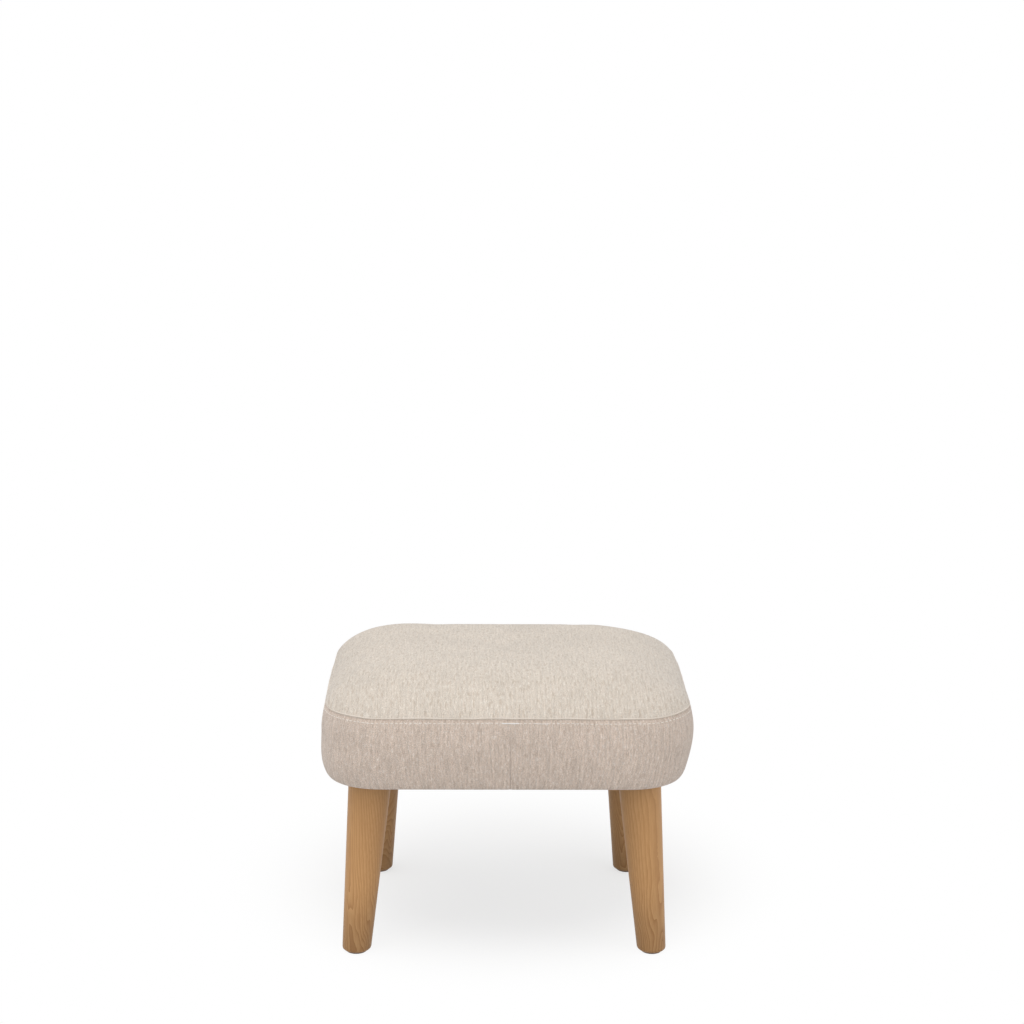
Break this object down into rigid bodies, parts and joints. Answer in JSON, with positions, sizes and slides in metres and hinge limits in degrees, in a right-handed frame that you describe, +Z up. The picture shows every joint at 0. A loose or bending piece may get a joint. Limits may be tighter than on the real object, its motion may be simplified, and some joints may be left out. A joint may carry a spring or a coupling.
{
  "type": "footstool",
  "caption": "Rectangular upholstered footstool with a crowned cushion, a seamed side band and splayed tapered round wooden legs.",
  "frame": {"origin": "on the floor, under the middle of the cushion", "axes": "+Z up; +X to the right seen from the front, along the long side; the front faces -Y"},
  "size_m": [0.45, 0.376, 0.3521],
  "materials": {
    "leg_wood": "clear satin lacquer on pale hardwood",
    "glide_plastic": "moulded, matt",
    "frame_wood": "sawn, unfinished",
    "board_plywood": "unfinished plywood",
    "zinc_steel": "zinc plated",
    "foam": "open-cell foam, matt",
    "wadding": "loose fibre, matt",
    "cover_fabric": "melange chenille weave, matt",
    "dust_cloth": "non-woven, matt"
  },
  "bodies": {
    "root": {"leg_front_left": "leg_wood", "leg_front_right": "leg_wood", "leg_back_left": "leg_wood", "leg_back_right": "leg_wood", "glide_front_left": "glide_plastic", "glide_front_right": "glide_plastic", "glide_back_left": "glide_plastic", "glide_back_right": "glide_plastic", "corner_block_front_left": "frame_wood", "corner_block_front_right": "frame_wood", "corner_block_back_left": "frame_wood", "corner_block_back_right": "frame_wood", "front_rail": "frame_wood", "back_rail": "frame_wood", "left_rail": "frame_wood", "right_rail": "frame_wood", "seat_board": "board_plywood", "frame_screws": "zinc_steel", "hanger_bolts": "zinc_steel", "threaded_inserts": "zinc_steel", "border_foam": "foam", "foam_block": "foam", "wadding": "wadding", "side_band_left": "cover_fabric", "side_band_right": "cover_fabric", "top_panel": "cover_fabric", "dust_cover": "dust_cloth"}
  },
  "joints": []
}
